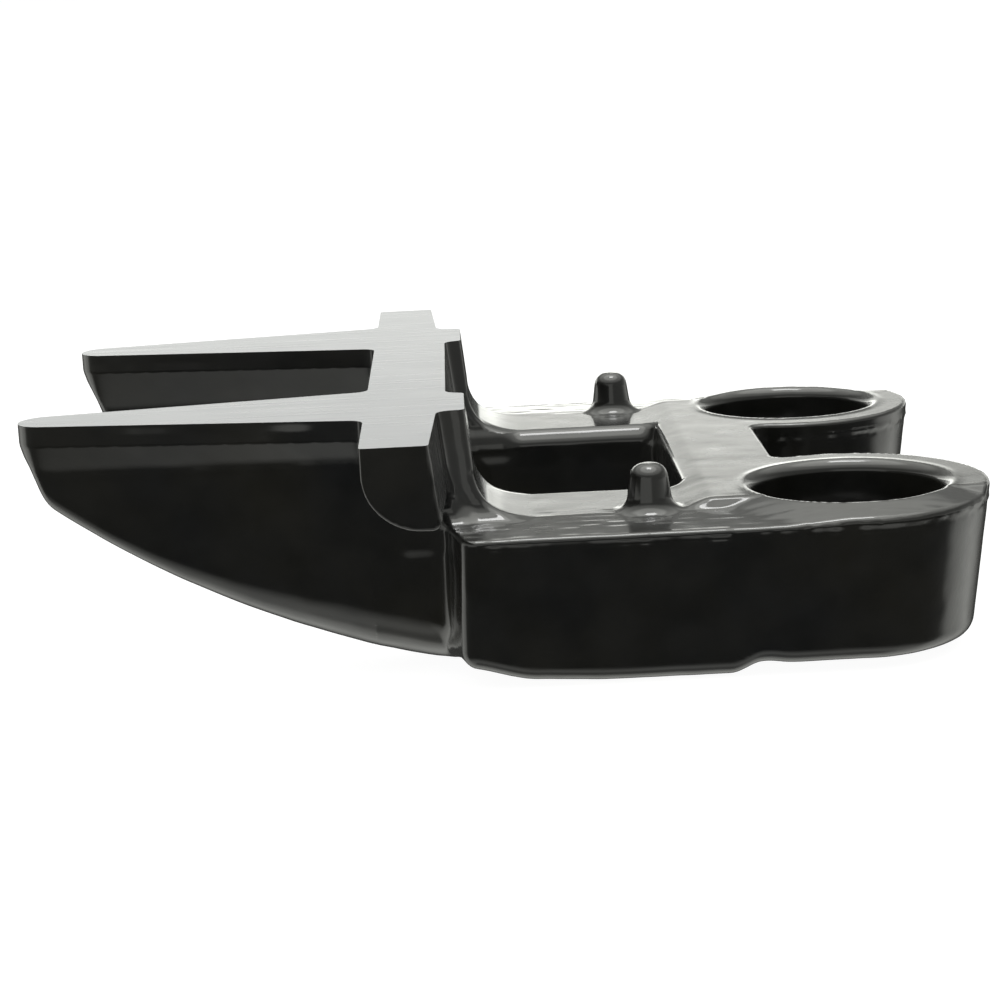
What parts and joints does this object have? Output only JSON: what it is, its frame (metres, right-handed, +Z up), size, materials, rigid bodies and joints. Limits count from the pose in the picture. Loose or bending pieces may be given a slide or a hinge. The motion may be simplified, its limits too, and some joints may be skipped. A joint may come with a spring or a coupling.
{
  "type": "double knife guard for a cutter bar",
  "caption": "Forged double knife guard: tapering fingers with ground ledger faces, a trash bar across them, and two arms that end in deep bolt eyes.",
  "frame": {"origin": "middle of the trash bar's flat top face, in the ledger plane", "axes": "+X from the finger tips towards the bolt eyes, +Y across the guard along the trash bar, +Z up, normal to the ledger faces"},
  "size_m": [0.1611, 0.1524, 0.0442],
  "materials": {
    "black_paint": "glossy black enamel over a forged surface",
    "ground_steel": "surface-ground, satin"
  },
  "bodies": {
    "root": {"trash_bar": "ground_steel", "ledger_left": "ground_steel", "ledger_right": "ground_steel", "finger_left": "black_paint", "finger_right": "black_paint", "neck_left": "black_paint", "neck_right": "black_paint", "arm_left": "black_paint", "arm_right": "black_paint", "eye_left": "black_paint", "eye_right": "black_paint", "locating_peg_left": "black_paint", "locating_peg_right": "black_paint", "rear_web": "black_paint"}
  },
  "joints": []
}
